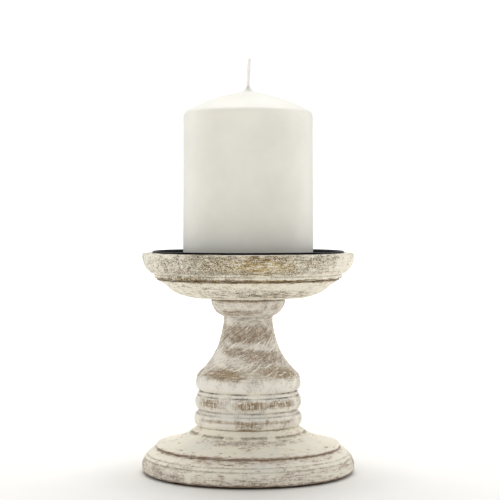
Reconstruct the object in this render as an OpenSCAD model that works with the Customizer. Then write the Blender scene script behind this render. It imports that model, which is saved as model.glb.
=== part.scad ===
// Turned wooden pillar-candle holder: a foot, a baluster stem and a cup, with the
// pressed steel pan in the cup, the fastenings, the felt pads and a domed pillar candle.
// Millimetres, +Z up, with the origin on the table under the turning axis.
//
// Every turned outline is a list of mouldings, as a turner reads them off the lathe:
// each row is [change of radius, change of height, bow], where bow is how far the
// stretch bulges outwards (positive) or is hollowed (negative) from a straight line.

/* [Foot] */
// Widest diameter of the foot
foot_d = 124; // [112:1:140]
// Diameter of the small collar under the stem
collar_d = 67.8; // [64:0.2:72]
// Height that the foot's dished top climbs from its nose to the collar
slope_h = 6.4; // [4:0.2:12]

/* [Stem] */
// Diameter of the two rings above the foot
ring_d = 62.6; // [58:0.2:64]
// Diameter of the neck
neck_d = 28.8; // [24:0.2:34]
// Height of the hollow flare between the bell and the neck
flare_h = 29.6; // [20:0.2:40]
// Diameter of the tenon glued into the foot
foot_tenon_d = 22; // [18:1:26]
// Length of the tenon glued into the foot
foot_tenon_l = 13.5; // [10:0.5:14]
// Diameter of the tenon glued into the cup
cup_tenon_d = 18; // [14:1:24]
// Length of the tenon glued into the cup
cup_tenon_l = 12; // [8:0.5:12]

/* [Cup] */
// Diameter of the cup's rim
cup_d = 123.8; // [118:0.2:140]

/* [Pan] */
// Diameter of the pan over its rolled rim
pan_d = 112; // [104:0.5:113]
// Depth of the pan from the top of its rim to its floor
pan_depth = 5; // [4:0.5:7]
// Thickness of the steel sheet
sheet_t = 0.8; // [0.6:0.1:1]
// Height that the rolled rim stands above the wood
pan_proud = 1.2; // [0.5:0.1:1.5]

/* [Candle] */
// Diameter of the candle at its base
candle_d = 76; // [50:1:90]
// Height of the wax, from the pan to where the wick comes out
candle_h = 101; // [70:0.1:150]
// Diameter of the wick
wick_d = 2; // [1.5:0.1:3]
// Length of wick above the wax
wick_show = 15.6; // [8:0.1:20]

/* [Fastenings] */
// Diameter of the wood screws over the thread
screw_d = 4.2; // [3.5:0.1:4.5]
// Length of the screw from the pan down into the stem
cup_screw_l = 45; // [35:1:50]
// Length of the screw from the foot up into the stem
foot_screw_l = 45; // [30:1:50]
// Diameter of the washer under the foot screw's head
washer_d = 14; // [12:0.5:15]
// Diameter of one felt pad
pad_d = 13; // [10:0.5:16]
// Thickness of one felt pad
pad_t = 1.2; // [1:0.1:3]
// Number of felt pads
pad_count = 4; // [3:1:6]

/* [Hidden] */
$fn = 96;

whitewash = [0.85, 0.82, 0.75];
black_steel = [0.06, 0.06, 0.08];
zinc = [0.72, 0.72, 0.70];
felt_brown = [0.22, 0.17, 0.13];
wax_white = [0.95, 0.94, 0.91];
cotton = [0.90, 0.88, 0.82];

glue_gap = 0.1;      // round each tenon
end_gap = 0.5;       // past a tenon's end
drill_slack = 0.1;   // so that each cutting tool passes the face it opens
overlap = 1;         // how far solids that are one piece run into each other
seat_gap = 0.1;      // under the loose candle
screw_slack = 0.3;   // round a screw in its clearance hole
arc_steps = 8;

foot_r = foot_d / 2;
collar_r = collar_d / 2;
ring_r = ring_d / 2;
neck_r = neck_d / 2;
cup_r = cup_d / 2;
screw_r = screw_d / 2;
root_r = screw_r * 0.7;    // between the ridges of the thread
wick_r = wick_d / 2;

// Incised lines, cut with the point of the skew chisel.
line = [[-0.6, 0.35, 0], [0.4, 0.35, 0]];
light_line = 0.7 * line;
faint_line = line / 2;

foot_edge = 1.2;     // the chamfer at the table, half of it going back out
foot_nose_in = 9.5;  // from the foot's widest radius in to the top of the nose
foot_mouldings = concat(
    [[foot_edge / 2, foot_edge / 2, 0],       // chamfer at the table
     [-0.7, 6.9, 1]],                         // big rounded edge
    line,
    [[-1.5, 1.5, 0.25]],                      // narrow rounded band
    light_line,
    [[-3.2, 2.3, 0.3],                        // shelf
     [-2.3, 1.2, -0.3],                       // cove under the nose
     [0.5, 0.1, 0],
     [-1.4, 2.2, 0.6],                        // rounded nose
     [collar_r - foot_r + foot_nose_in, slope_h, -1.2],  // dished top
     [-0.9, 0.3, 0],                          // quirk under the collar
     [0.4, 0.5, 0],
     [-4, 3, -0.25]]);                        // collar, hollowed up to the stem

stem_foot_in = 2.3;   // the stem's lowest edge, in from the rings
bell_in = 2.8;        // the bell's shoulder, in from the rings
flare_in = 11;        // from the bell's shoulder in to where the flare turns upright
flare_share = 0.54;   // how far up the flare that is
stem_mouldings = concat(
    [[2.2, 2.9, 0.5],        // lower ring, its under-curve
     [-0.1, 3.7, 0.15],      // lower ring, its face
     [-0.9, 0.9, 0.1]],      // lower ring, its eased shoulder
    faint_line,
    [[-1.4, 1.6, 0.05],      // lower ring, its sloping top
     [-0.1, 0.5, 0],
     [1, 0.3, 0],
     [0.2, 7.6, 1.3]],       // upper ring
    line,
    [[-0.6, 1.5, 0.15],      // thread of wood between two lines
     [-0.9, 0.5, 0],
     [0.5, 0.4, 0],
     [1.9, 2.45, 0.35],      // bell, its lip
     [-0.1, 3.5, 0.1],       // bell, its widest part
     [-1.9, 4.1, 0.45],      // bell, its shoulder
     [-flare_in, flare_h * flare_share, -1.1],    // hollow flare, its wide part
     [neck_r + bell_in + flare_in - ring_r, flare_h * (1 - flare_share), -0.35],
     [0, 3.1, 0],            // neck
     [0.9, 0.5, 0],          // underside of the capital
     [6.4, 9.1, 1.65]],      // capital, a big ovolo
    line,
    [[0.5, 1, 0]]);          // fillet under the cup

cup_belly_in = 28.3;  // from the rim in to where the cup's flat underside ends
cup_mouldings = [
    [10.4, 3.5, 0.5],        // belly
    [9.4, 6.9, -0.35],       // hollow rise
    [-0.3, 0.6, 0],          // quirk under the fillet
    [1.6, 0.3, 0],
    [0.2, 2.3, 0.2],         // fillet
    [1.1, 0.3, 0],
    [5.9, 9.8, 1.65],        // ovolo
    [-0.3, 1.6, 0.1],        // upright rim
    [-0.5, 0.5, 0.1]];       // eased top edge

foot_h = height(foot_mouldings);
stem_h = height(stem_mouldings);
cup_h = height(cup_mouldings);

foot_z = pad_t;
stem_z = foot_z + foot_h;
cup_z = stem_z + stem_h;
rim_z = cup_z + cup_h;
pan_z = rim_z + pan_proud - pan_depth;     // the top of the pan's floor
recess_z = pan_z - sheet_t;                // the floor of the cup's recess
recess_gap = 0.4;                          // round the pan's rim
recess_r = pan_d / 2 + recess_gap;
candle_z = pan_z + seat_gap;

// The pan: a flat floor, a bend, a leaning wall and a rolled rim.
bead_r = sheet_t;
bead_sides = 24;
bend_r = 2;
half_bend = 45;           // degrees, half of the turn from floor to wall
wall_lean = 0.4;
floor_r = pan_d / 2 - bead_r - sheet_t / 2 - wall_lean - bend_r;
dimple_r = 5;
dimple_depth = 2.2;
shank_hole_r = screw_r + screw_slack;
dimple_run = (dimple_r - shank_hole_r) / dimple_depth;   // radius gained per mm of height
dimple_t = sheet_t * norm([dimple_run, 1]) / dimple_run; // the sheet measured upright in the dimple

// The screws.
head_h = 1.9;
head_sunk = 0.3;          // the countersunk head's top below the pan's floor
head_fit = 0.05;          // between the head and the dimple
pan_head_r = 4.6;
pan_head_h = 2.7;
pan_head_flat_r = 3.22;   // the flat on top of the head
pan_head_bow = 0.5;
thread_pitch = 1.8;
thread_share = 0.62;      // of the screw's length
ridge_up = 0.4;           // of the pitch, from a ridge's foot to its crest
ridge_w = 0.8;            // of the pitch, from foot to foot
plain_r = screw_r * 0.92; // above the thread
runout = 1;               // where the thread grows into the plain shank
tip_l = 5;
past_tip = 1;             // how far a pilot hole runs past its screw's tip
cross_w = 1;
cross_l = 4.4;
cross_depth = 1.5;

// The hollow and the counterbore under the foot.
hollow_r = 44;
hollow_h = 1.5;
washer_slack = 1;
counterbore_r = washer_d / 2 + washer_slack;
counterbore_h = 5;
washer_t = 1.2;
washer_z = foot_z + hollow_h + counterbore_h - washer_t;
pad_in = 10;              // from the foot's widest radius in to the middle of a pad
pad_ring_r = foot_r - pad_in;
first_pad = 45;           // degrees, so that four pads stand on the diagonals

// The candle.
candle_r = candle_d / 2;
draft = 0.4;              // how much narrower the wax is under its shoulder
shoulder_r = 4;
shoulder_turn = 60;       // degrees of the shoulder's arc, which ends at the slope of the dome
foot_ease = 0.8;
collar_wax_h = 3.8;       // the little cone of wax that climbs the wick
collar_wax_r = 4;
collar_wax_bow = -0.6;
dome_h = 11;
dome_bow = 1.4;
base_ring = 4;            // the flat ring that the candle stands on
base_hollow = 1;          // inside it the candle's underside is slightly hollow
base_bow = -0.2;
wick_start = 2;
wick_tip = 0.3;           // the wick's eased end

// Points from a up to, but not at, b along an arc that bulges by rise to the right.
function bow(a, b, rise) =
    rise == 0 ? [a] :
    let (chord = norm(b - a),
         along = (b - a) / chord,
         out = [along[1], -along[0]],
         r = (chord * chord / 4 + rise * rise) / (2 * rise),
         centre = (a + b) / 2 - out * (r - rise),
         half = asin(chord / 2 / abs(r)))
    [for (i = [0:arc_steps - 1])
        let (turn = half * (2 * i / arc_steps - 1))
        centre + r * cos(turn) * out + abs(r) * sin(turn) * along];

// The outline that a list of mouldings makes, from the point at.
function outline(at, rows, i = 0) =
    i == len(rows) ? [at] :
    let (next = at + [rows[i][0], rows[i][1]])
    concat(bow(at, next, rows[i][2]), outline(next, rows, i + 1));

function height(rows, i = 0) = i == len(rows) ? 0 : rows[i][1] + height(rows, i + 1);

// A solid turned on the Z axis, from its outline, closed along the axis.
module turned(points) {
    rotate_extrude()
        polygon(concat([[0, points[0][1]]], points, [[0, points[len(points) - 1][1]]]));
}

// A cylinder on the turning axis, from z up by h: a tenon, or what a drill takes out.
module core(r, z, h) {
    translate([0, 0, z]) cylinder(r = r, h = h);
}

module foot() {
    socket_z = stem_z - foot_tenon_l - end_gap;
    color(whitewash) difference() {
        translate([0, 0, foot_z]) turned(outline([foot_r - foot_edge, 0], foot_mouldings));
        core(foot_tenon_d / 2 + glue_gap, socket_z, foot_tenon_l + end_gap + drill_slack);
        core(hollow_r, foot_z - drill_slack, hollow_h + drill_slack);
        core(counterbore_r, foot_z, hollow_h + counterbore_h);
        core(shank_hole_r, foot_z, foot_h);
    }
}

module stem() {
    foot_screw_tip = washer_z + foot_screw_l;
    cup_screw_tip = pan_z - head_sunk - cup_screw_l;
    color(whitewash) difference() {
        union() {
            translate([0, 0, stem_z]) turned(outline([ring_r - stem_foot_in, 0], stem_mouldings));
            core(foot_tenon_d / 2, stem_z - foot_tenon_l, foot_tenon_l + overlap);
            core(cup_tenon_d / 2, cup_z - overlap, cup_tenon_l + overlap);
        }
        core(root_r, stem_z - foot_tenon_l - drill_slack,
             foot_screw_tip + past_tip - stem_z + foot_tenon_l);
        core(root_r, cup_screw_tip - past_tip,
             cup_z + cup_tenon_l + drill_slack - cup_screw_tip + past_tip);
    }
}

module cup() {
    color(whitewash) difference() {
        translate([0, 0, cup_z]) turned(outline([cup_r - cup_belly_in, 0], cup_mouldings));
        core(recess_r, recess_z, rim_z);
        core(cup_tenon_d / 2 + glue_gap, cup_z - drill_slack, cup_tenon_l + end_gap + drill_slack);
        core(shank_hole_r, cup_z, cup_h);
        translate([0, 0, recess_z - dimple_depth - dimple_t + sheet_t])
            cylinder(r1 = shank_hole_r, r2 = dimple_r + (dimple_t - sheet_t) * dimple_run,
                     h = dimple_depth + dimple_t - sheet_t);
    }
}

module drip_pan() {
    bend_bow = bend_r * (1 - cos(half_bend));
    rim_h = pan_depth - bead_r;
    inside = concat(
        [[shank_hole_r, -dimple_depth], [dimple_r, 0]],
        bow([floor_r, 0], [floor_r + bend_r, bend_r], bend_bow),
        [[floor_r + bend_r, bend_r], [floor_r + bend_r + wall_lean, rim_h]]);
    outside = concat(
        [[floor_r + bend_r + wall_lean + sheet_t, rim_h]],
        bow([floor_r + bend_r + sheet_t, bend_r], [floor_r, -sheet_t],
            (bend_r + sheet_t) * (cos(half_bend) - 1)),
        [[floor_r, -sheet_t],
         [shank_hole_r + (dimple_t + dimple_depth - sheet_t) * dimple_run, -sheet_t],
         [shank_hole_r, -dimple_depth - dimple_t]]);
    color(black_steel) translate([0, 0, pan_z]) {
        rotate_extrude() polygon(concat(inside, outside));
        rotate_extrude() translate([pan_d / 2 - bead_r, rim_h]) circle(r = bead_r, $fn = bead_sides);
    }
}

// A cross recess, cut down into a head whose top is at z = 0.
module cross_recess() {
    for (turn = [0, 90])
        rotate(turn) translate([0, 0, -cross_depth / 2 + drill_slack])
            cube([cross_l, cross_w, cross_depth + 2 * drill_slack], center = true);
}

// A wood screw's shank, hanging down from z = 0, with its thread drawn as rings.
module shank(length) {
    threaded = length * thread_share;
    turns = floor((threaded - tip_l) / thread_pitch);
    ridges = [for (i = [0:turns - 1])
        let (z = -length + tip_l + i * thread_pitch)
        each [[root_r, z],
              [screw_r, z + thread_pitch * ridge_up],
              [root_r, z + thread_pitch * ridge_w]]];
    top_of_thread = -length + tip_l + turns * thread_pitch;
    rotate_extrude()
        polygon(concat([[0, -length]], ridges,
                       [[root_r, top_of_thread], [plain_r, top_of_thread + runout],
                        [plain_r, 0], [0, 0]]));
}

module cup_screw() {
    head_r = dimple_r - head_sunk * dimple_run - head_fit;
    neck_at = head_r - head_h * dimple_run;
    color(zinc) translate([0, 0, pan_z - head_sunk]) difference() {
        union() {
            translate([0, 0, -head_h]) cylinder(r1 = neck_at, r2 = head_r, h = head_h);
            shank(cup_screw_l);
        }
        cross_recess();
    }
}

module foot_screw() {
    color(zinc) translate([0, 0, washer_z]) mirror([0, 0, 1]) difference() {
        union() {
            rotate_extrude()
                polygon(concat([[0, 0]],
                               bow([pan_head_r, 0], [pan_head_flat_r, pan_head_h], pan_head_bow),
                               [[pan_head_flat_r, pan_head_h], [0, pan_head_h]]));
            shank(foot_screw_l);
        }
        translate([0, 0, pan_head_h]) cross_recess();
    }
}

module foot_washer() {
    color(zinc) difference() {
        core(washer_d / 2, washer_z, washer_t);
        core(shank_hole_r, washer_z - drill_slack, washer_t + 2 * drill_slack);
    }
}

module felt_pads() {
    color(felt_brown)
        for (i = [0:pad_count - 1])
            rotate(i * 360 / pad_count + first_pad) translate([pad_ring_r, 0, 0])
                cylinder(d = pad_d, h = pad_t);
}

module candle_wax() {
    shoulder_rise = shoulder_r * sin(shoulder_turn);
    shoulder_in = shoulder_r * (1 - cos(shoulder_turn));
    shoulder = [candle_r - draft, candle_h - collar_wax_h - dome_h - shoulder_rise];
    dome_edge = shoulder + [-shoulder_in, shoulder_rise];
    dome_top = [collar_wax_r, candle_h - collar_wax_h];
    wax = concat(
        bow([0, base_hollow], [candle_r - base_ring, 0], base_bow),
        [[candle_r - base_ring, 0], [candle_r - foot_ease, 0], [candle_r, foot_ease]],
        bow(shoulder, dome_edge, shoulder_r * (1 - cos(shoulder_turn / 2))),
        bow(dome_edge, dome_top, dome_bow),
        bow(dome_top, [wick_r, candle_h], collar_wax_bow),
        [[wick_r, candle_h], [0, candle_h]]);
    color(wax_white) translate([0, 0, candle_z]) difference() {
        rotate_extrude() polygon(wax);
        core(wick_r, wick_start, candle_h);
    }
}

module candle_wick() {
    top = candle_h + wick_show;
    color(cotton) translate([0, 0, candle_z])
        rotate_extrude()
            polygon([[0, wick_start], [wick_r, wick_start], [wick_r, top - wick_tip],
                     [wick_r - wick_tip, top], [0, top]]);
}

foot();
stem();
cup();
drip_pan();
cup_screw();
foot_screw();
foot_washer();
felt_pads();
candle_wax();
candle_wick();
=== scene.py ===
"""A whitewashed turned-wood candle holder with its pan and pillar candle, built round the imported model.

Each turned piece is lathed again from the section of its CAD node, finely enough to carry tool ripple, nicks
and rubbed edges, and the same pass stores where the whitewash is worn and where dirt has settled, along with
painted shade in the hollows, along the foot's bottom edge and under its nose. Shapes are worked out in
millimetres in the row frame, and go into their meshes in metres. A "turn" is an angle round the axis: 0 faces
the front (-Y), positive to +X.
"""

import math

import bmesh
import bpy
import numpy as np
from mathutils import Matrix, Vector


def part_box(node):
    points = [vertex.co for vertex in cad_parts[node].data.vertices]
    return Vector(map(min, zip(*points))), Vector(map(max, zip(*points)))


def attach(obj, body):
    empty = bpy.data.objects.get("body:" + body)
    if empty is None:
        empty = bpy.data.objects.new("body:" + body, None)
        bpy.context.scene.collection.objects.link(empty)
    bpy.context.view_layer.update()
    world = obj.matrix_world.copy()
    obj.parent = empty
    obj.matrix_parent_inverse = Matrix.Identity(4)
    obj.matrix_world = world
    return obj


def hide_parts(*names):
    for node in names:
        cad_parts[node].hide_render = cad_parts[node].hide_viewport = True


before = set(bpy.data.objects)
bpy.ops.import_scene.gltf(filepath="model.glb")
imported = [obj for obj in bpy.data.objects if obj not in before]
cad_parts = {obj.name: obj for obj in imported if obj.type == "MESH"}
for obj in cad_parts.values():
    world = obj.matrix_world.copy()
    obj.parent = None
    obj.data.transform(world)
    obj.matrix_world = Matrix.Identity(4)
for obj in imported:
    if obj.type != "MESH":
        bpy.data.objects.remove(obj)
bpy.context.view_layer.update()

MM = 0.001
FULL = 2 * math.pi
DENSE = 0.04            # mm between the points of an outline before it is thinned out
HIDDEN_SPACING = 3.0    # mm between its points where it is out of sight


# ---------------------------------------------------------------- outlines from the CAD nodes

def merged_triangles(node):
    """A CAD node's points in mm, each place only once, and its triangles as rows of three point numbers."""
    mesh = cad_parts[node].data
    mesh.calc_loop_triangles()
    place = np.empty(len(mesh.vertices) * 3)
    mesh.vertices.foreach_get("co", place)
    place = place.reshape(-1, 3) / MM
    corners = np.empty(len(mesh.loop_triangles) * 3, int)
    mesh.loop_triangles.foreach_get("vertices", corners)
    _, first, same = np.unique(np.round(place, 3), axis=0, return_index=True, return_inverse=True)
    return place[first], same.reshape(-1)[corners].reshape(-1, 3)


def cut(place, triangles):
    """Cuts a turned mesh with a half-plane through its axis.

    Returns the points of the cut, as (radius, height) by key, and the keys that each key is joined to.
    """
    slant = 0.013   # keeps the cutting plane off the mesh's own vertices
    across = place[:, 0] * math.cos(slant) + place[:, 1] * math.sin(slant)
    beside = place[:, 1] * math.cos(slant) - place[:, 0] * math.sin(slant)
    up = place[:, 2]
    side = beside > 0
    points = {}
    joined = {}
    for triangle in triangles[side[triangles].any(axis=1) & ~side[triangles].all(axis=1)]:
        ends = []
        for a, b in ((0, 1), (1, 2), (2, 0)):
            a, b = sorted((triangle[a], triangle[b]))
            if side[a] != side[b]:
                share = beside[a] / (beside[a] - beside[b])
                point = (across[a] + share * (across[b] - across[a]), up[a] + share * (up[b] - up[a]))
                ends.append(((a, b), point))
        ends.sort(key=lambda end: end[1][0])
        (low_key, low), (high_key, high) = ends
        if high[0] <= 0:
            continue
        if low[0] < 0:   # this triangle covers the axis, so the outline starts or ends in it
            share = low[0] / (low[0] - high[0])
            low_key, low = ("axis", high_key), (0.0, low[1] + share * (high[1] - low[1]))
        points[low_key] = low
        points[high_key] = high
        joined.setdefault(low_key, []).append(high_key)
        joined.setdefault(high_key, []).append(low_key)
    return points, joined


def chain(joined):
    """The keys in the order in which they are joined, and whether they close into a loop."""
    tips = [key for key in joined if len(joined[key]) == 1]
    key = tips[0] if tips else next(iter(joined))
    walk = [key]
    seen = {key}
    while True:
        ahead = [other for other in joined[key] if other not in seen]
        if not ahead:
            return walk, not tips
        key = ahead[0]
        seen.add(key)
        walk.append(key)


def section(node):
    """The outline of a turned CAD node in a half-plane through its axis, as (radius, height) rows in mm.

    The second value says whether the outline is a closed loop; otherwise it runs from the axis to the axis.
    The solid lies on the left of the way it runs, so the outline goes up on its outer side.
    """
    points, joined = cut(*merged_triangles(node))
    walk, closed = chain(joined)
    outline = np.array([points[key] for key in walk])
    shortest = 0.002
    keep = np.r_[True, np.hypot(*np.diff(outline, axis=0).T) > shortest]
    outline = outline[keep]
    r, z = outline.T
    turned_area = np.sum(r * np.roll(z, -1) - np.roll(r, -1) * z)
    return (outline if turned_area > 0 else outline[::-1]), closed


def blend(a, b, low, high, t):
    """A value that is a where t is low and b where t is high, and that runs straight between them."""
    return ((high - t) * a + (t - low) * b) / (high - low)


def curve_through(points, step):
    """Points every step mm or less along a smooth curve through the given points (Catmull-Rom)."""
    if len(points) == 2:
        count = max(1, math.ceil(np.linalg.norm(points[1] - points[0]) / step))
        return points[0] + np.linspace(0, 1, count + 1)[:, None] * (points[1] - points[0])
    padded = np.vstack([2 * points[0] - points[1], points, 2 * points[-1] - points[-2]])
    knots = np.r_[0, np.cumsum(np.sqrt(np.linalg.norm(np.diff(padded, axis=0), axis=1)))]
    out = [points[0]]
    for i in range(1, len(padded) - 2):
        p0, p1, p2, p3 = padded[i - 1:i + 3]
        t0, t1, t2, t3 = knots[i - 1:i + 3]
        count = max(1, math.ceil(np.linalg.norm(p2 - p1) / step))
        t = (t1 + (t2 - t1) * np.arange(1, count + 1) / count)[:, None]
        first = blend(p0, p1, t0, t1, t)
        middle = blend(p1, p2, t1, t2, t)
        last = blend(p2, p3, t2, t3, t)
        out.extend(blend(blend(first, middle, t0, t2, t), blend(middle, last, t1, t3, t), t1, t2, t))
    return np.array(out)


def smooth(value, low, high):
    """0 below low, 1 above high, and a smooth rise between."""
    t = np.clip((value - low) / (high - low), 0, 1)
    return t * t * (3 - 2 * t)


def spread(values, reach):
    """The highest value within reach samples either way, looking at every second one."""
    return np.max([np.roll(values, shift) for shift in range(-reach, reach + 1, 2)], axis=0)


def blur(values, width, closed):
    """Gaussian blur of rows along an outline. width is in samples."""
    reach = max(1, math.ceil(3 * width))
    kernel = np.exp(-0.5 * (np.arange(-reach, reach + 1) / width) ** 2)
    kernel /= kernel.sum()
    if closed:
        before, after = values[-reach:], values[:reach]
    else:
        before, after = 2 * values[0] - values[reach:0:-1], 2 * values[-1] - values[-2:-reach - 2:-1]
    padded = np.vstack([before, values, after])
    return np.stack([np.convolve(column, kernel, "valid") for column in padded.T], axis=1)


def eased_outline(node, ease):
    """A node's outline at every DENSE mm or less, smooth along its curves, with its corners eased."""
    corner = math.radians(17)   # a sharper bend than this is a corner
    points, closed = section(node)
    ring = np.vstack([points, points[:1]]) if closed else points
    runs = np.diff(ring, axis=0)
    heading = np.arctan2(runs[:, 1], runs[:, 0])
    bends = np.abs((np.diff(heading) + math.pi) % FULL - math.pi)
    breaks = [0] + [i + 1 for i in np.flatnonzero(bends > corner)] + [len(ring) - 1]
    dense = [ring[:1]]
    for start, end in zip(breaks[:-1], breaks[1:]):
        dense.append(curve_through(ring[start:end + 1], DENSE)[1:])
    dense = np.vstack(dense)
    if closed:
        dense = dense[:-1]
    eased = blur(dense, ease / DENSE, closed)
    if not closed:
        eased[[0, -1]] = dense[[0, -1]]
    return eased, closed


def bend_at(outline, closed, reach):
    """How much the outline turns within reach samples of each point, in radians.

    It is above 0 on an edge and below 0 in a hollow.
    """
    if closed:
        before, after = np.roll(outline, reach, axis=0), np.roll(outline, -reach, axis=0)
    else:
        places = np.arange(len(outline))
        before = outline[np.maximum(places - reach, 0)]
        after = outline[np.minimum(places + reach, len(outline) - 1)]
    into, out_of = outline - before, after - outline
    return np.arctan2(into[:, 0] * out_of[:, 1] - into[:, 1] * out_of[:, 0],
                      np.sum(into * out_of, axis=1) + 1e-9)


def fine_outline(node, spacing, corner_spacing, ease, hidden):
    """A node's eased outline, closely spaced where it bends.

    hidden(r, z) says where the outline is out of sight. Returns the points, how far each one is on an edge
    and in a hollow, from 0 to 1, and whether the outline is closed.
    """
    slight, sharp = math.radians(12), math.radians(42)    # where an edge or a hollow starts, and is full
    tight = math.radians(35)           # a bend that gets corner_spacing
    hidden_corner = math.radians(30)   # a bend that keeps spacing, though it is out of sight
    softness = 0.3                     # mm over which edges and hollows are blurred
    eased, closed = eased_outline(node, ease)
    reach = round(0.5 / DENSE)
    bend = bend_at(eased, closed, reach)
    edge = spread(smooth(bend, slight, sharp), reach)
    hollow = smooth(-bend, slight, sharp)
    edge, hollow = blur(np.stack([edge, hollow], axis=1), softness / DENSE, closed).T

    near = spread(np.abs(bend), reach // 2)
    wanted = spacing + (corner_spacing - spacing) * np.clip(near / tight, 0, 1)
    unseen = np.array([hidden(r, z) for r, z in eased])
    wanted = np.where(unseen, np.where(near > hidden_corner, spacing, HIDDEN_SPACING), wanted)
    lengths = np.linalg.norm(np.diff(eased, axis=0), axis=1)
    travelled = np.r_[0, np.cumsum(lengths / wanted[1:])]
    stops = np.linspace(0, travelled[-1], math.ceil(travelled[-1]) + 1)
    chosen = np.unique(np.searchsorted(travelled, stops[:-1] if closed else stops))
    chosen = np.minimum(chosen, len(eased) - 1)
    return eased[chosen], edge[chosen], hollow[chosen], closed


# ---------------------------------------------------------------- meshes

def grid_faces(low, high):
    """Quads between rows of vertex numbers and the rows after them, closed round each row."""
    return np.stack([low, np.roll(low, -1, 1), np.roll(high, -1, 1), high], axis=2).reshape(-1, 4).tolist()


def place_piece(name, mesh, material, node, body):
    """Puts the mesh in a CAD node's place, as a piece that moves with its body."""
    mesh.shade_smooth()
    mesh.materials.append(material)
    piece = bpy.data.objects.new(name, mesh)
    bpy.context.scene.collection.objects.link(piece)
    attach(piece, body)
    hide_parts(node)


class Gathered:
    """Several shapes, with their vertices in mm, that become one piece."""

    def __init__(self):
        self.vertices = []
        self.faces = []
        self.used = 0

    def add(self, vertices, faces):
        self.vertices.append(vertices)
        self.faces.extend([[i + self.used for i in face] for face in faces])
        self.used += len(vertices)

    def build(self, name, material, node, slot, body):
        mesh = bpy.data.meshes.new(name)
        mesh.from_pydata((np.vstack(self.vertices) * MM).tolist(), [], self.faces)
        place_piece(name, mesh, material, node, body)


def tube(path, radius, sides, aside=(0.0, 1.0, 0.0)):
    """Vertices and faces of a round closed tube along the points of path, which never runs along aside."""
    path = np.asarray(path)
    run = np.gradient(path, axis=0)
    run /= np.linalg.norm(run, axis=1)[:, None]
    out = np.cross(run, aside)
    out /= np.linalg.norm(out, axis=1)[:, None]
    beside = np.cross(run, out)
    angles = np.arange(sides) * FULL / sides
    rings = path[:, None] + radius * (np.cos(angles)[None, :, None] * out[:, None]
                                      + np.sin(angles)[None, :, None] * beside[:, None])
    index = np.arange(len(path) * sides).reshape(len(path), sides)
    ends = [index[0].tolist()[::-1], index[-1].tolist()]
    return rings.reshape(-1, 3), grid_faces(index[:-1], index[1:]) + ends


# ---------------------------------------------------------------- turned pieces

def waves(random, turn, along, count, most_turns, pace):
    """A smooth random field, about -1 to 1, that closes up round the axis. pace is in radians per mm."""
    field = np.zeros(np.broadcast(turn, along).shape)
    for _ in range(count):
        cycles = random.integers(0, most_turns + 1)
        field += np.cos(cycles * turn + along * random.normal(0, pace) + random.uniform(0, FULL))
    return field / math.sqrt(count)


def turn_gap(turn, centre):
    """How far turn is from centre, the short way round, in radians."""
    return (turn - centre + math.pi) % FULL - math.pi


def weld_axis(mesh):
    """Joins the vertices that lie together on the axis, where an open outline starts and ends."""
    touching = 1e-6
    work = bmesh.new()
    work.from_mesh(mesh)
    on_axis = [v for v in work.verts if math.hypot(v.co.x, v.co.y) < touching]
    bmesh.ops.remove_doubles(work, verts=on_axis, dist=touching)
    work.to_mesh(mesh)
    work.free()


class Turned:
    """The surface of a turned piece while it is being made: a grid of outline points by steps round the axis.

    hidden, spacing, corner_spacing and ease go to fine_outline(). raised is how far each point of the grid is
    moved outward, in mm, and marks are values over the grid that the materials read.
    """

    def __init__(self, node, steps, seed, hidden=lambda r, z: False, spacing=0.4, corner_spacing=0.14,
                 ease=0.12):
        self.node = node
        self.random = np.random.default_rng(seed)
        points, edge, hollow, self.closed = fine_outline(node, spacing, corner_spacing, ease, hidden)
        self.edge, self.hollow = edge[:, None], hollow[:, None]
        ring = np.vstack([points, points[:1]]) if self.closed else points
        run = np.gradient(ring, axis=0)[:len(points)]
        run /= np.linalg.norm(run, axis=1)[:, None] + 1e-12
        self.outward = np.stack([run[:, 1], -run[:, 0]], axis=1)
        travelled = np.r_[0, np.cumsum(np.linalg.norm(np.diff(points, axis=0), axis=1))]
        self.along = travelled[:, None]
        self.r = points[:, :1]
        self.z = points[:, 1:]
        self.turn = (np.arange(steps) * FULL / steps)[None, :]
        self.raised = np.zeros((len(points), steps))
        self.marks = {}

    def waves(self, count, most_turns, pace):
        return waves(self.random, self.turn, self.along, count, most_turns, pace)

    def nicks(self, count, depth, size, on):
        """Small dents at random places. on is how likely each outline point is to be hit, from 0 to 1."""
        chance = np.broadcast_to(on, self.z.shape).ravel() * np.gradient(self.along.ravel())
        where = self.random.choice(len(chance), count, p=chance / chance.sum())
        for j in where:
            turn = self.random.uniform(0, FULL)
            wide = size * self.random.uniform(0.5, 1.6)
            tall = size * self.random.uniform(0.4, 0.9)
            deep = depth * self.random.uniform(0.3, 1.0)
            across = turn_gap(self.turn, turn) * max(self.r[j, 0], 1)
            over = self.along - self.along[j]
            self.raised -= deep * np.exp(-(across / wide) ** 2 - (over / tall) ** 2)

    def build(self, name, material, slot, body):
        """Makes the mesh, gives it its marks as attributes, and puts it in the CAD node's place."""
        fade = smooth(self.r, 0.5, 4)   # nothing moves at the axis, where the steps meet
        r = self.r + self.raised * self.outward[:, :1] * fade
        z = self.z + self.raised * self.outward[:, 1:] * fade
        x = r * np.sin(self.turn)
        y = -r * np.cos(self.turn)
        vertices = np.stack([x, y, z], axis=2).reshape(-1, 3) * MM
        index = np.arange(r.size).reshape(r.shape)
        low = index if self.closed else index[:-1]
        high = np.roll(index, -1, axis=0) if self.closed else index[1:]
        mesh = bpy.data.meshes.new(name)
        mesh.from_pydata(vertices.tolist(), [], grid_faces(low, high))
        for mark, value in self.marks.items():
            data = mesh.attributes.new(mark, "FLOAT", "POINT").data
            data.foreach_set("value", np.broadcast_to(value, r.shape).astype(np.float32).ravel())
        if not self.closed:
            weld_axis(mesh)
        place_piece(name, mesh, material, self.node, body)


# ---------------------------------------------------------------- materials

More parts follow.
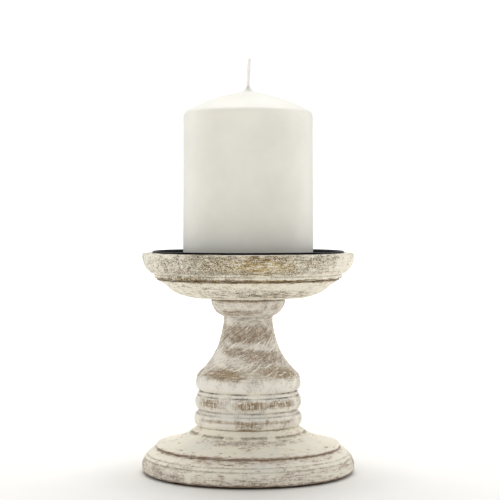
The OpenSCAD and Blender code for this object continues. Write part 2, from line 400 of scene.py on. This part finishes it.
def srgb(red, green, blue):
    """A colour given as 0 to 255 on screen, as the linear values that a shader takes."""
    def linear(value):
        value /= 255
        return value / 12.92 if value <= 0.04045 else ((value + 0.055) / 1.055) ** 2.4
    return linear(red), linear(green), linear(blue), 1.0


WHITE = (1.0, 1.0, 1.0, 1.0)
BLACK = (0.0, 0.0, 0.0, 1.0)
# The next colour is both dirt and painted shade in the hollows.
DIRT_AND_SHADE = srgb(78, 65, 50)
OIL = srgb(226, 204, 142)
FLAKE = srgb(252, 250, 244)


class Finish:
    """A node material. Most methods add a node and return its output, to feed to the next."""

    def __init__(self, name):
        self.material = bpy.data.materials.new(name)
        self.material.use_nodes = True
        self.tree = self.material.node_tree
        self.shader = self.tree.nodes["Principled BSDF"]

    def node(self, kind, settings=(), **inputs):
        """Adds a node. An input is named by the socket's name, or by _ and its number."""
        made = self.tree.nodes.new("ShaderNode" + kind)
        for name, value in dict(settings).items():
            setattr(made, name, value)
        for name, value in inputs.items():
            self.feed(made.inputs[int(name[1:]) if name[0] == "_" else name], value)
        return made

    def feed(self, socket, value):
        if isinstance(value, bpy.types.NodeSocket):
            self.tree.links.new(value, socket)
        else:
            socket.default_value = value

    def set(self, **inputs):
        """Feeds the shader's own sockets, with _ for each space in a socket's name."""
        for name, value in inputs.items():
            self.feed(self.shader.inputs[name.replace("_", " ")], value)

    def place(self):
        """Where a point is in the row frame, in millimetres."""
        coords = self.node("TexCoord").outputs["Object"]
        return self.scale(coords, (1 / MM, 1 / MM, 1 / MM))

    def scale(self, vector, by):
        return self.node("VectorMath", {"operation": "MULTIPLY"}, _0=vector, _1=by).outputs["Vector"]

    def length(self, vector):
        return self.node("VectorMath", {"operation": "LENGTH"}, _0=vector).outputs["Value"]

    def twist(self, vector, degrees_per_mm):
        """Turns the space round the axis as it rises, so that upright strokes lean."""
        height = self.node("SeparateXYZ", Vector=vector).outputs["Z"]
        angle = self.times(height, math.radians(degrees_per_mm))
        return self.node("VectorRotate", {"rotation_type": "Z_AXIS"}, Vector=vector, Angle=angle).outputs[0]

    def noise(self, vector, scale=1.0, detail=3.0, roughness=0.55, distortion=0.0):
        """Noise from 0 to 1. scale is in repeats per mm, on top of any scaling of vector."""
        return self.node("TexNoise", Vector=vector, Scale=scale, Detail=detail, Roughness=roughness,
                         Distortion=distortion).outputs["Fac"]

    def maths(self, operation, a, b):
        return self.node("Math", {"operation": operation}, _0=a, _1=b).outputs[0]

    def times(self, a, b):
        return self.maths("MULTIPLY", a, b)

    def swing(self, value):
        """Noise brought round from 0 to 1 to about -0.5 to 0.5."""
        return self.maths("SUBTRACT", value, 0.5)

    def total(self, *terms):
        """The sum of value, or (value, weight), terms."""
        result = None
        for term in terms:
            value = self.times(*term) if isinstance(term, tuple) else term
            result = value if result is None else self.maths("ADD", result, value)
        return result

    def rise(self, value, low, high):
        """0 where value is at low, 1 where it is at high, and smooth between. high may be below low."""
        made = self.node("MapRange", {"interpolation_type": "SMOOTHSTEP"}, _0=value, _1=low, _2=high)
        return made.outputs[0]

    def mix(self, factor, a, b, blend="MIX"):
        made = self.node("Mix", {"data_type": "RGBA", "blend_type": blend})
        for socket, value in ((made.inputs["Factor"], factor), (made.inputs[6], a), (made.inputs[7], b)):
            self.feed(socket, value)
        return made.outputs[2]

    def mark(self, name):
        return self.node("Attribute", {"attribute_name": name}).outputs["Fac"]

    def bump(self, height, distance, strength=1.0, under=None):
        made = self.node("Bump", Height=height, Distance=distance * MM, Strength=strength)
        if under is not None:
            self.feed(made.inputs["Normal"], under)
        return made.outputs["Normal"]


def whitewashed_wood(name, along_x, streaky, paint, bare, dark, washed, dirt_and_shade_colour=DIRT_AND_SHADE):
    """Whitewash brushed over pale wood and rubbed back.

    The grain runs along X (along_x true) or along Z, and streaky is how much the coat streaks round the
    piece. paint is the coat's colour, bare and dark are the wood's, and washed is what a thin coat over it
    looks like. The piece's marks say where the coat is worn, where it has come off in specks, where dirt has
    settled and painted shade darkens the hollows, where oil has stained it, where the brush leaned over, and
    where the tool left upright lines. In places the marks of worn coat are painted shade too, along the
    foot's bottom edge and in the cove under its nose.
    """
    finish = Finish(name)
    place = finish.place()
    wear_and_shade, specks, dirt_and_shade, stain, lean, chatter = (
        finish.mark(mark) for mark in ("wear_and_shade", "specks", "dirt_and_shade", "stain", "lean", "chatter"))
    grain_scale = (0.13, 1.0, 1.1) if along_x else (0.95, 0.95, 0.13)

    grain = finish.noise(finish.scale(place, grain_scale), roughness=0.6, distortion=0.5)
    broad = finish.noise(place, 0.05, roughness=0.5)
    blotch = finish.noise(place, 0.17, detail=4, roughness=0.62, distortion=0.5)
    mottle = finish.noise(place, 0.5, roughness=0.6, distortion=1.0)
    flecks = finish.noise(place, 1.6, detail=2, roughness=0.6, distortion=1.8)
    streaks = finish.noise(finish.scale(place, (0.15, 0.15, 1.7)), roughness=0.7, distortion=0.5)
    leaning = finish.noise(finish.scale(finish.twist(place, -4.4), (1.1, 1.1, 0.17)),
                           detail=4, roughness=0.75, distortion=0.9)
    upright = finish.noise(finish.scale(place, (1.7, 1.7, 0.05)), detail=2, roughness=0.7)

    # Fine marks of the brush, the grain and the tool, then how thin the coat is, then what the two make.
    fine = finish.total((finish.swing(flecks), finish.total((specks, 7.0), 0.9)),
                        (finish.times(finish.swing(streaks), streaky),
                         finish.total((lean, -0.8), (specks, -1.0), 1.0)),
                        (finish.times(finish.swing(leaning), lean), -1.8),
                        (finish.times(finish.swing(upright), chatter), 1.7))
    mottled = finish.times(finish.swing(mottle), finish.total((chatter, -0.7), 1.1))
    thin = finish.maths("MINIMUM", finish.total((finish.swing(blotch), 1.3), mottled, wear_and_shade), 0.8)
    veiled = finish.rise(finish.total((fine, 0.4), thin), -0.12, 0.4)
    worn = finish.rise(finish.total(fine, thin), 0.24, 0.8)
    pitted = finish.rise(finish.total((fine, 1.4), (thin, 0.5), (specks, 0.3), (finish.swing(mottle), 0.6)),
                         0.56, 0.7)
    flakes = finish.times(veiled, finish.rise(fine, -0.08, -0.24))

    cooler = tuple(value * share for value, share in zip(paint, (0.93, 0.95, 0.98, 1.0)))
    coated = finish.mix(finish.rise(broad, 0.42, 0.7), paint, cooler)
    wood = finish.mix(finish.rise(grain, 0.34, 0.66), dark, bare)
    colour = finish.mix(finish.times(veiled, 0.85), coated, washed)
    colour = finish.mix(finish.times(worn, 0.85), colour, wood)
    colour = finish.mix(finish.times(pitted, 0.92), colour, dark)
    colour = finish.mix(finish.times(flakes, 0.8), colour, FLAKE)
    oiled = finish.times(stain, finish.times(veiled, finish.rise(streaks, 0.36, 0.56)))
    colour = finish.mix(oiled, colour, OIL, "MULTIPLY")
    # Dirt and painted shade, in the hollows and along the lines that the marks give.
    colour = finish.mix(finish.times(dirt_and_shade, finish.rise(mottle, 0.2, 0.6)), colour, dirt_and_shade_colour)

    coat = finish.total((worn, -0.5), (pitted, -0.5), (flakes, 0.4), 1.0)
    relief = finish.bump(coat, 0.12, 0.8)
    relief = finish.bump(finish.total((streaks, 0.6), (flecks, 0.3), (mottle, 0.3)), 0.16, 0.6, relief)
    finish.set(Base_Color=colour, Roughness=finish.total((worn, 0.1), 0.62), Normal=relief,
               Specular_IOR_Level=0.3)
    return finish.material


def black_enamel():
    """Semi-gloss black enamel on pressed steel, with a little dust."""
    finish = Finish("black_enamel")
    place = finish.place()
    peel = finish.noise(place, 0.9, detail=2, roughness=0.5)
    dust = finish.rise(finish.noise(place, 2.4, roughness=0.7), 0.62, 0.8)
    finish.set(Base_Color=finish.mix(finish.times(dust, 0.3), srgb(4, 4, 7), srgb(36, 36, 38)),
               Roughness=finish.total((finish.noise(place, 0.3), 0.1), 0.12),
               Normal=finish.bump(peel, 0.02, 0.5), Specular_IOR_Level=0.12)
    return finish.material


def zinc():
    """Dull zinc plating with fine turning marks."""
    finish = Finish("zinc")
    place = finish.place()
    rings = finish.noise(finish.scale(place, (2.0, 2.0, 9.0)), detail=2, roughness=0.6)
    finish.set(Base_Color=finish.mix(finish.noise(place, 0.8), srgb(150, 150, 146), srgb(196, 196, 190)),
               Roughness=finish.total((rings, 0.2), 0.28), Normal=finish.bump(rings, 0.02, 0.5), Metallic=1.0)
    return finish.material


def felt():
    """Dense brown felt."""
    finish = Finish("felt")
    fibres = finish.noise(finish.place(), 3.2, detail=4, roughness=0.7, distortion=1.4)
    finish.set(Base_Color=finish.mix(finish.rise(fibres, 0.35, 0.65), srgb(52, 42, 34), srgb(96, 80, 66)),
               Roughness=0.95, Normal=finish.bump(fibres, 0.25, 0.9), Sheen_Weight=0.5, Sheen_Roughness=0.5,
               Specular_IOR_Level=0.1)
    return finish.material


def wax():
    """White candle wax, with light going some way into it where it is thick."""
    finish = Finish("wax")
    place = finish.place()
    cloud = finish.noise(place, 0.05, detail=4)
    bloom = finish.noise(place, 1.6, roughness=0.6)
    finish.set(Base_Color=finish.mix(finish.rise(cloud, 0.35, 0.7), srgb(238, 236, 226), srgb(233, 231, 221)),
               Roughness=finish.total((bloom, 0.16), 0.4), Normal=finish.bump(bloom, 0.04, 0.35),
               Subsurface_Weight=finish.times(finish.mark("thick"), 0.6),
               Subsurface_Radius=(1.0, 0.9, 0.8), Subsurface_Scale=0.008, Specular_IOR_Level=0.4)
    return finish.material


def cotton():
    """Waxed cotton yarn."""
    finish = Finish("cotton")
    fibres = finish.noise(finish.scale(finish.place(), (5.0, 5.0, 1.4)), roughness=0.7)
    finish.set(Base_Color=finish.mix(finish.rise(fibres, 0.3, 0.7), srgb(246, 240, 235), srgb(254, 252, 250)),
               Roughness=0.75, Normal=finish.bump(fibres, 0.12, 0.8), Sheen_Weight=0.3)
    return finish.material


# ---------------------------------------------------------------- the wooden pieces

# Where the marks of the front are repeated, in degrees, and how much of their angles is kept there.
COPIES = ((-112, 0.4), (112, 0.4), (180, 1.0))


def patch(piece, degrees, height, wide, tall, slope=0.0):
    """A soft-edged patch, 0 to 1. wide is in degrees, tall in mm, and slope in mm of height per degree."""
    across = np.degrees(turn_gap(piece.turn, math.radians(degrees)))
    over = piece.z - height - slope * across
    return np.exp(-np.abs(across / wide) ** 3 - np.abs(over / tall) ** 3)


def all_round(piece, patches):
    """The patches together, with others like them on the sides and the back, which the list leaves out."""
    random = np.random.default_rng(7)
    field = 0
    for amount, degrees, height, wide, tall, *slope in patches:
        field = field + amount * patch(piece, degrees, height, wide, tall, *slope)
        if wide >= 180:   # this one runs all round already
            continue
        for centre, share in COPIES:
            field = field + (amount * random.uniform(0.7, 1.1)
                             * patch(piece, centre + share * degrees, height + random.uniform(-0.4, 0.4),
                                     wide * max(share, 0.5), tall * random.uniform(0.8, 1.1)))
    return field


def rubbed_and_shaded(piece, base, patches, specks, edge_wear, dirt_and_shade):
    """Marks where the whitewash is worn thin, where it is specked, and where dirt has settled and painted
    shade darkens the hollows.

    patches and specks are rows of (how much, then what patch() takes). base, edge_wear and the amount of dirt
    and painted shade in the hollows may vary along the outline.
    """
    wear_and_shade = base + 0.06 * piece.waves(30, 9, pace=0.25)
    rubbing = np.clip(0.8 + 0.35 * piece.waves(24, 14, pace=0.5), 0.1, 1.2)
    wear_and_shade = wear_and_shade + edge_wear * piece.edge * rubbing
    piece.marks["wear_and_shade"] = wear_and_shade + all_round(piece, patches)
    piece.marks["specks"] = all_round(piece, specks) * np.ones_like(wear_and_shade)
    unevenness = np.clip(0.8 + 0.5 * piece.waves(20, 12, pace=0.3), 0, 1)
    # Dirt and painted shade, most in the deepest hollows, uneven round the piece.
    piece.marks["dirt_and_shade"] = dirt_and_shade * np.sqrt(piece.hollow.clip(0)) * unevenness
    for mark in ("stain", "lean", "chatter"):
        piece.marks[mark] = np.zeros_like(wear_and_shade)


def at(piece, *heights, reach=0.7):
    """1 at any of the heights along the outline, falling to 0 past reach mm from it."""
    return np.max([np.exp(-((piece.z - height) / reach) ** 4) for height in heights], axis=0)


def bristle_strokes(piece, count, low, high):
    """Thin ridges of paint that the brush left between two heights, 0 to 1. They rise to the right."""
    tall = 0.35
    field = 0
    for i in range(count):
        degrees = 360 * (i + piece.random.random()) / count
        height = piece.random.uniform(low, high)
        wide = piece.random.uniform(4, 10)
        slope = piece.random.uniform(0.06, 0.36)
        strength = piece.random.uniform(0.5, 1)
        field = np.maximum(field, strength * patch(piece, degrees, height, wide, tall, slope))
    return field


def foot_piece():
    low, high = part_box("foot")
    top, bottom, wide = high.z / MM, low.z / MM, high.x / MM
    nose, quirk = top - 12.4, top - 3.4
    inside_r = wide / 2.1   # the socket and the counterbore lie within this
    piece = Turned("foot", 330, seed=11,
                   hidden=lambda r, z: r < inside_r and z < top - 0.1 or z < bottom + 0.2)
    patches = [
        (0.35, -2, top - 5.7, 46, 1.5), (0.15, 48, top - 5.4, 18, 1.6), (0.4, -62, bottom + 4.5, 28, 5),
        (0.4, 2, bottom + 2.8, 46, 2.8), (0.4, 52, bottom + 6.5, 28, 1.3), (0.12, 72, bottom + 3, 24, 4.5),
        # The first patch on the next line, all round at bottom + 0.3, is a worn edge made darker as painted
        # contact shadow.
        (1.0, 0, bottom + 0.3, 400, 0.8), (0.6, 0, nose + 0.2, 400, 1.2), (0.35, -14, nose + 0.5, 34, 1.3),
        # The patch on the next line darkens the cove under the nose: painted shade, not wear.
        (0.4, 10, nose - 1.9, 40, 0.8)]
    specks = [(0.42, -54, bottom + 4.5, 26, 5), (0.5, -4, top - 5.7, 44, 1.5), (0.16, 20, bottom + 4, 50, 5)]
    # Below the nose the hollows get more dirt and painted shade, where the nose shades the cove.
    rubbed_and_shaded(piece, -0.1, patches, specks,
           edge_wear=0.1 + 0.6 * at(piece, nose, reach=1.0) + 0.15 * at(piece, quirk + 0.8),
           dirt_and_shade=0.15 + 0.5 * (piece.z < nose - 1))
    dashes = smooth(np.sin(piece.turn * 9 + 0.9) + 0.5 * np.sin(piece.turn * 23 + 2), -0.9, -0.3)
    # The line at the bottom is painted contact shadow as well as dirt.
    lines = 0.65 * at(piece, nose + 0.3) + 0.6 * at(piece, bottom)
    for dirt_and_shade in (0.7 * dashes * at(piece, quirk, reach=0.75), lines):
        piece.marks["dirt_and_shade"] = np.maximum(piece.marks["dirt_and_shade"], dirt_and_shade)
    drip = patch(piece, -32.5, bottom + 3.4, 0.9, 2.4)   # a ridge of dried paint
    piece.marks["wear_and_shade"] = piece.marks["wear_and_shade"] - 1.5 * drip
    piece.raised += 0.06 * piece.waves(30, 30, pace=0.6) + 0.3 * drip
    piece.nicks(60, depth=0.3, size=0.9, on=piece.edge * (piece.r > wide / 2))
    material = whitewashed_wood("foot_whitewash", along_x=True, streaky=2.4, paint=srgb(248, 242, 225),
                                bare=srgb(196, 168, 142), dark=srgb(134, 110, 92), washed=srgb(222, 209, 190),
                                dirt_and_shade_colour=srgb(128, 106, 82))
    piece.build("foot_wood", material, "whitewashed_wood", "holder")


def stem_piece():
    foot_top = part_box("foot")[1].z / MM
    cup_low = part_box("cup")[0].z / MM
    lower_ring, upper_ring, bell = foot_top + 2.41, foot_top + 14.91, foot_top + 31.61
    flare, neck, capital = foot_top + 42.81, foot_top + 53.91, cup_low - 8.5
    inside_r = 12   # the pilot holes lie within this
    piece = Turned("stem", 256, seed=23,
                   hidden=lambda r, z: z < foot_top or z > cup_low or r < inside_r)
    patches = [
        (1.0, -6, neck, 62, 4.8), (0.3, -20, neck + 1, 16, 2.5), (0.8, 6, flare, 60, 2.8, -0.04),
        (0.34, 20, flare - 5.5, 46, 3.6), (0.75, -34, bell, 36, 3.2, -0.02), (0.65, 42, bell, 28, 3),
        (0.75, -20, capital, 36, 1.5), (0.7, -24, cup_low - 1.4, 28, 0.8), (0.5, 30, cup_low - 1.4, 30, 0.6),
        (0.75, -46, upper_ring, 18, 2.4), (0.9, 4, upper_ring - 0.3, 18, 2.5), (0.8, 41, upper_ring, 17, 2.2),
        (0.5, -30, lower_ring + 2.6, 34, 1.1), (0.3, 30, lower_ring + 2.4, 34, 0.9),
        (0.6, 1, lower_ring, 14, 2.6), (0.25, 38, lower_ring + 1.2, 24, 2),
        (0.65, 12, lower_ring - 2.4, 50, 1.0), (0.2, 24, bell + 6, 60, 9)]
    # The hollows get dirt and painted shade, most of all the pair of grooves above the upper ring.
    rubbed_and_shaded(piece, 0.28 * smooth(piece.z, flare, neck), patches, (), edge_wear=0.15,
           dirt_and_shade=0.75 + 0.4 * at(piece, upper_ring + 3.3, upper_ring + 5.6, reach=1.2))
    z = piece.z
    piece.marks["lean"] = smooth(z, bell - 2, bell + 6) * (1 - smooth(z, neck + 5, neck + 8))
    piece.marks["chatter"] = ((1 - smooth(z, upper_ring + 3, upper_ring + 5))
                              * (0.6 + 0.4 * smooth(z, lower_ring + 3.2, lower_ring + 7.2)))
    piece.marks["stain"] = 0.5 * np.clip(piece.marks["wear_and_shade"], 0, 1) * (1 - smooth(z, bell + 1, bell + 7))
    strokes = bristle_strokes(piece, 110, bell - 2, neck + 3)
    piece.marks["wear_and_shade"] = piece.marks["wear_and_shade"] - 0.9 * strokes
    piece.raised += 0.05 * piece.waves(30, 16, pace=0.7) + 0.1 * strokes
    material = whitewashed_wood("stem_whitewash", along_x=False, streaky=1.2, paint=srgb(246, 240, 228),
                                bare=srgb(192, 171, 145), dark=srgb(138, 118, 98), washed=srgb(211, 204, 192))
    piece.build("stem_wood", material, "whitewashed_wood", "holder")


def cup_piece():
    low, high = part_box("cup")
    top, bottom, wide = high.z / MM, low.z / MM, high.x / MM
    fillet = bottom + 11.1
    inside_r = wide / 2    # the socket and the countersink lie within this
    recess_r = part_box("drip_pan")[1].x / MM + 0.2
    piece = Turned("cup", 360, seed=37,
                   hidden=lambda r, z: r < inside_r or r < recess_r and z > top - 12)
    patches = [
        (0.16, -38, top - 7, 40, 6), (0.3, 4, top - 6, 36, 6), (0.3, 4, top - 1.8, 50, 1.6),
        (0.14, 34, top - 6, 20, 6), (0.12, 64, top - 6, 18, 7), (0.4, 4, top - 10.2, 60, 1.0),
        (0.5, 28, bottom + 3, 26, 2.2), (0.2, -14, bottom + 4, 34, 4), (0.8, 0, fillet - 0.2, 400, 1.0),
        (0.4, -44, fillet + 0.8, 24, 1.6)]
    specks = [
        (0.42, -46, top - 7, 32, 7), (0.32, -20, top - 7, 22, 6), (0.42, 33, top - 6, 17, 6),
        (0.16, 4, top - 7, 32, 6), (0.2, -10, bottom + 4.5, 34, 4)]
    rubbed_and_shaded(piece, 0.17 * (piece.z < fillet), patches, specks, edge_wear=0.2, dirt_and_shade=0.6)
    piece.marks["dirt_and_shade"] = np.maximum(piece.marks["dirt_and_shade"], 0.45 * at(piece, fillet - 0.4))
    piece.marks["stain"] = (patch(piece, 6, top - 6, 34, 5.5) + 0.3 * patch(piece, -42, top - 7, 24, 7)
                            + 0.7 * patch(piece, 6, fillet, 70, 1.4))
    piece.raised += 0.05 * piece.waves(30, 30, pace=0.6)
    piece.nicks(50, depth=0.25, size=0.8, on=piece.edge * (piece.r > wide / 2))
    material = whitewashed_wood("cup_whitewash", along_x=True, streaky=1.8, paint=srgb(248, 241, 225),
                                bare=srgb(190, 168, 126), dark=srgb(84, 68, 52), washed=srgb(228, 219, 200))
    piece.build("cup_wood", material, "whitewashed_wood", "holder")


# ---------------------------------------------------------------- the other pieces

def pan_piece():
    piece = Turned("drip_pan", 300, seed=41, spacing=0.7, corner_spacing=0.12, ease=0.06)
    piece.raised += 0.03 * piece.waves(20, 9, pace=0.2)
    piece.build("drip_pan_steel", black_enamel(), "black_steel", "holder")


def wax_piece():
    inside_r = 1.2   # the wick's hole lies within this
    piece = Turned("candle_wax", 256, seed=53, hidden=lambda r, z: r < inside_r, spacing=0.7,
                   corner_spacing=0.2, ease=0.25)
    piece.raised += 0.07 * piece.waves(24, 7, pace=0.06)
    piece.marks["thick"] = smooth(piece.r, 3, 10)
    piece.build("candle_wax_body", wax(), "wax", "candle")


def wick_piece():
    """Three waxed strands plaited round each other, leaning slightly."""
    low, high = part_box("candle_wick")
    radius = (high.x - low.x) / 2 / MM
    bottom, top = low.z / MM, high.z / MM
    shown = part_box("candle_wax")[1].z / MM
    strand = 0.56 * radius
    step = 0.12
    pitch = 5.2          # mm of height to a turn of the plait
    tip_leans = 0.8
    heights = np.arange(bottom, top, step)
    lean = tip_leans * np.clip((heights - shown) / (top - shown), 0, 1) ** 1.3
    wick = Gathered()
    for start in np.arange(3) * FULL / 3:
        twist = start + heights * FULL / pitch
        across = (radius - strand) * np.cos(twist) + lean
        path = np.stack([across, (radius - strand) * np.sin(twist), heights], 1)
        wick.add(*tube(path, strand, 12))
    wick.build("candle_wick_yarn", cotton(), "candle_wick", "cotton", "candle")


def pad_outline(radius, bottom, top):
    """A felt pad's outline, from the middle of its underside, round its edge, to the middle of its top."""
    ease = 0.25
    flat_points, edge_points = 26, 6
    flat = np.linspace(0.02, radius - ease, flat_points)
    bend = np.linspace(0, math.pi / 2, edge_points)[1:]
    edge_heights = np.linspace(bottom + 0.3, top - 0.15, edge_points)
    r = np.r_[flat, radius - ease + ease * np.sin(bend), np.full(edge_points, radius),
              radius - ease + ease * np.cos(bend), flat[::-1]]
    z = np.r_[np.full(flat_points, bottom), bottom + ease * (1 - np.cos(bend)), edge_heights,
              top - 0.1 * (1 - np.sin(bend)), np.full(flat_points, top)]
    return r, z


def pad_disc(random, middle, radius, bottom, top):
    """Vertices and faces of one pad, with a slightly uneven sheared edge and a rubbed underside."""
    sides = 120
    turn = np.arange(sides)[None, :] * FULL / sides
    out, height = pad_outline(radius, bottom, top)
    along = np.r_[0, np.cumsum(np.hypot(np.diff(out), np.diff(height)))][:, None]
    rim = smooth(out, radius - 1.2, radius)[:, None]
    worn = 1 - smooth(height, bottom, bottom + 0.4)[:, None]
    r = out[:, None] * (1 - 0.012 * rim * (1 + waves(random, turn, along, 20, 14, pace=0.8)))
    r = r - 0.07 * rim * random.random(r.shape)
    z = height[:, None] + worn * (0.05 + 0.03 * waves(random, turn, along, 30, 9, pace=2.0)).clip(0)
    z = z + 0.05 * worn * random.random(r.shape)
    points = np.stack([middle[0] + r * np.cos(turn), middle[1] + r * np.sin(turn), z], axis=2)
    index = np.arange(r.size).reshape(r.shape)
    low, high = index[:-1], index[1:]
    # These faces, unlike those of grid_faces() and tube(), look into the solid.
    quads = np.stack([low, high, np.roll(high, -1, 1), np.roll(low, -1, 1)], axis=2)
    faces = quads.reshape(-1, 4).tolist() + [index[0].tolist(), index[-1].tolist()[::-1]]
    return points.reshape(-1, 3), faces


def loose_fibre(random, start, middle, radius, bottom, top):
    """Vertices and faces of a fibre that stands off a pad's edge, from the angle start."""
    thick, sides = 0.035, 5
    share = np.linspace(0, 1, 7)
    turn = start + share * random.uniform(0.08, 0.25) * random.choice((-1, 1))
    out = radius - 0.2 + 0.6 * random.random() * np.sin(share * random.uniform(1.5, 3))
    z = bottom + 0.12 + (top - bottom - 0.3) * (random.random() * (1 - share) + random.random() * share)
    path = np.stack([middle[0] + out * np.cos(turn), middle[1] + out * np.sin(turn), z], axis=1)
    return tube(path, thick, sides, aside=(0.0, 0.0, 1.0))


def pad_pieces():
    """The die-cut felt pads, as one piece: dense discs with loose fibres at their edges."""
    fibres = 60
    apart = 0.3   # radians between neighbouring pads, at the least
    random = np.random.default_rng(61)
    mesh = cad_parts["felt_pads"].data
    points = np.array([vertex.co for vertex in mesh.vertices]) / MM
    turns = np.arctan2(points[:, 1], points[:, 0])
    order = np.argsort(turns)
    pads = Gathered()
    for pad in np.split(points[order], np.nonzero(np.diff(turns[order]) > apart)[0] + 1):
        low, high = pad.min(axis=0), pad.max(axis=0)
        size = (low + high) / 2, (high[0] - low[0]) / 2, low[2], high[2]
        pads.add(*pad_disc(random, *size))
        for start in random.uniform(0, FULL, fibres):
            pads.add(*loose_fibre(random, start, *size))
    pads.build("felt_pad_discs", felt(), "felt_pads", "felt", "holder")


def dress(node, material):
    """Gives a CAD node that keeps its own shape its material."""
    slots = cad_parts[node].material_slots
    if not slots:
        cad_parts[node].data.materials.append(material)
    for slot in slots:
        slot.material = material


# ---------------------------------------------------------------- the studio

def soft_light(name, place, aim, size, watts):
    data = bpy.data.lights.new(name, "AREA")
    data.shape = "RECTANGLE"
    data.size, data.size_y = size
    data.energy = watts
    lamp = bpy.data.objects.new(name, data)
    bpy.context.scene.collection.objects.link(lamp)
    lamp.location = place
    lamp.rotation_euler = (Vector(aim) - Vector(place)).to_track_quat("-Z", "Y").to_euler()
    lamp.visible_camera = False


def white_world():
    """An even white light from all round."""
    world = bpy.data.worlds.new("studio")
    world.use_nodes = True
    background = world.node_tree.nodes["Background"]
    background.inputs["Color"].default_value = WHITE
    background.inputs["Strength"].default_value = 0.375
    bpy.context.scene.world = world


def floor():
    """White paper that glows, as painted light: a little from 60 mm out from the axis, so that the shade
    round the foot stands out darker, and more far out, until it is lost in the surround.
    """
    finish = Finish("studio_floor")
    place = finish.place()
    paper = finish.noise(place, 0.02, detail=2)
    distance = finish.length(place)
    # Painted light: the paper's glow grows away from the object.
    painted_glow = finish.total((finish.rise(distance, 60, 110), 0.1), finish.rise(distance, 300, 1500))
    finish.set(Base_Color=finish.mix(paper, srgb(241, 240, 236), srgb(244, 243, 240)), Roughness=0.6,
               Emission_Color=WHITE, Emission_Strength=painted_glow)
    bpy.ops.mesh.primitive_circle_add(vertices=96, radius=6, fill_type="NGON", location=(0, 0, 0))
    sheet = bpy.context.object
    sheet.name = "studio_floor"
    sheet.data.materials.append(finish.material)


def surround():
    """The white sphere that the camera sees behind the object. It lights nothing."""
    finish = Finish("studio_surround")
    finish.set(Base_Color=BLACK, Roughness=1.0, Emission_Color=WHITE, Emission_Strength=1.05,
               Specular_IOR_Level=0.0)
    bpy.ops.mesh.primitive_uv_sphere_add(segments=48, ring_count=24, radius=6.5)
    sphere = bpy.context.object
    sphere.name = "studio_surround"
    sphere.data.materials.append(finish.material)
    sphere.visible_diffuse = False
    sphere.visible_glossy = False
    sphere.visible_transmission = False
    sphere.visible_shadow = False


def studio():
    bpy.context.scene.view_settings.view_transform = "Standard"
    white_world()
    floor()
    surround()
    soft_light("top_box", place=(0, 0.6, 1.2), aim=(0, 0, 0.1), size=(1.2, 0.9), watts=11)
    soft_light("front_box", place=(0, -1.0, 0.95), aim=(0, 0, 0.05), size=(1.0, 0.7), watts=3.5)
    soft_light("left_box", place=(-0.95, 0.35, 0.36), aim=(0, 0, 0.12), size=(0.6, 0.9), watts=2.6)
    soft_light("right_box", place=(0.95, 0.35, 0.36), aim=(0, 0, 0.12), size=(0.6, 0.9), watts=2.6)


def camera():
    """A long lens a little above the rim of the cup, aimed slightly down."""
    angle, down, right = 18.85, 1.32, 0.07   # degrees
    data = bpy.data.cameras.new("camera")
    data.sensor_fit = "HORIZONTAL"
    data.angle = math.radians(angle)
    data.clip_start = 0.01
    eye = bpy.data.objects.new("camera", data)
    bpy.context.scene.collection.objects.link(eye)
    eye.location = (0.0, -0.88, 0.15)
    eye.rotation_euler = (math.radians(90 - down), 0.0, math.radians(-right))
    bpy.context.scene.camera = eye


foot_piece()
stem_piece()
cup_piece()
pan_piece()
wax_piece()
wick_piece()
pad_pieces()
steel = zinc()
for fixing in ("cup_screw", "foot_screw", "foot_washer"):
    dress(fixing, steel)
studio()
camera()
